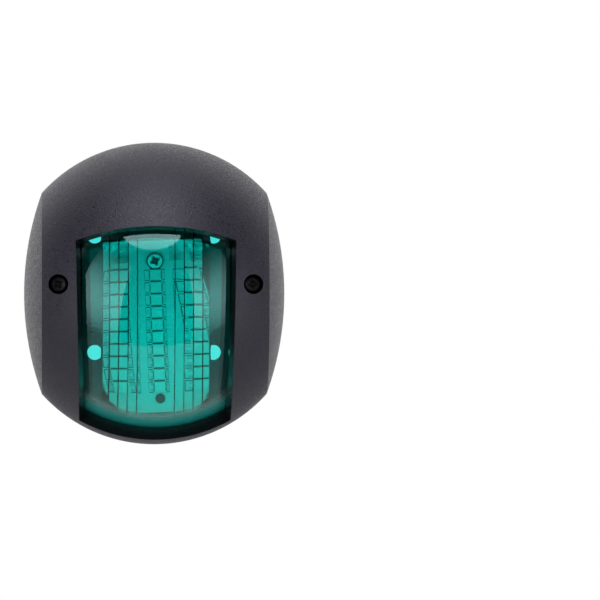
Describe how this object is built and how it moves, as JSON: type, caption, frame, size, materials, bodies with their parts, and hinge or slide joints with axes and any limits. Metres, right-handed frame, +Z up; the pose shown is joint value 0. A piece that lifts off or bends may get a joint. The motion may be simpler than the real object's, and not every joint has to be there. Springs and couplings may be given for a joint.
{
  "type": "navigation light",
  "caption": "Surface-mounted starboard side light: black domed cover with a green lens over an LED board on a flat base plate.",
  "frame": {"origin": "centre of the base plate's flat back, where the light meets the hull or cabin side", "axes": "+Z up as mounted, -Y the way the light faces, +X to the right seen from the front"},
  "size_m": [0.0716, 0.0428, 0.083],
  "materials": {
    "base_abs": "smooth black ABS",
    "cover_abs": "finely grained black ABS",
    "green_polycarbonate": "clear green polycarbonate",
    "gasket_rubber": "black silicone rubber",
    "stainless_steel": "stainless steel",
    "brass": "brass",
    "white_solder_mask": "white solder mask",
    "led_package": "white moulded package",
    "led_phosphor": "pale yellow silicone",
    "solder": "tinned",
    "chip_black": "moulded epoxy",
    "capacitor_tan": "ceramic",
    "black_insulation": "PVC insulation",
    "red_brown_insulation": "PVC insulation"
  },
  "bodies": {
    "base": {"base_plate": "base_abs", "cover_inserts": "brass", "board_insert": "brass", "board_screw": "stainless_steel", "led_board": "white_solder_mask", "led_packages_left": "led_package", "led_packages_centre": "led_package", "led_packages_right": "led_package", "led_windows_left": "led_phosphor", "led_windows_centre": "led_phosphor", "led_windows_right": "led_phosphor", "led_terminals_left": "solder", "led_terminals_centre": "solder", "led_terminals_right": "solder", "chip_resistors": "chip_black", "resistor_ends": "solder", "polarity_diode": "chip_black", "input_capacitor": "capacitor_tan", "driver_ic": "chip_black", "driver_legs": "solder", "cable_grommet": "gasket_rubber", "lead_black": "black_insulation", "lead_red": "red_brown_insulation", "lead_solder_joints": "solder"},
    "cover_set": {"cover": "cover_abs", "lens": "green_polycarbonate", "lens_gasket": "gasket_rubber", "cover_screws": "stainless_steel", "screw_o_rings": "gasket_rubber"}
  },
  "joints": [
    {"name": "cover_lift_off", "type": "slide", "parent": "base", "child": "cover_set", "axis": [0, -1, 0], "range_m": [0, 0.05]}
  ]
}
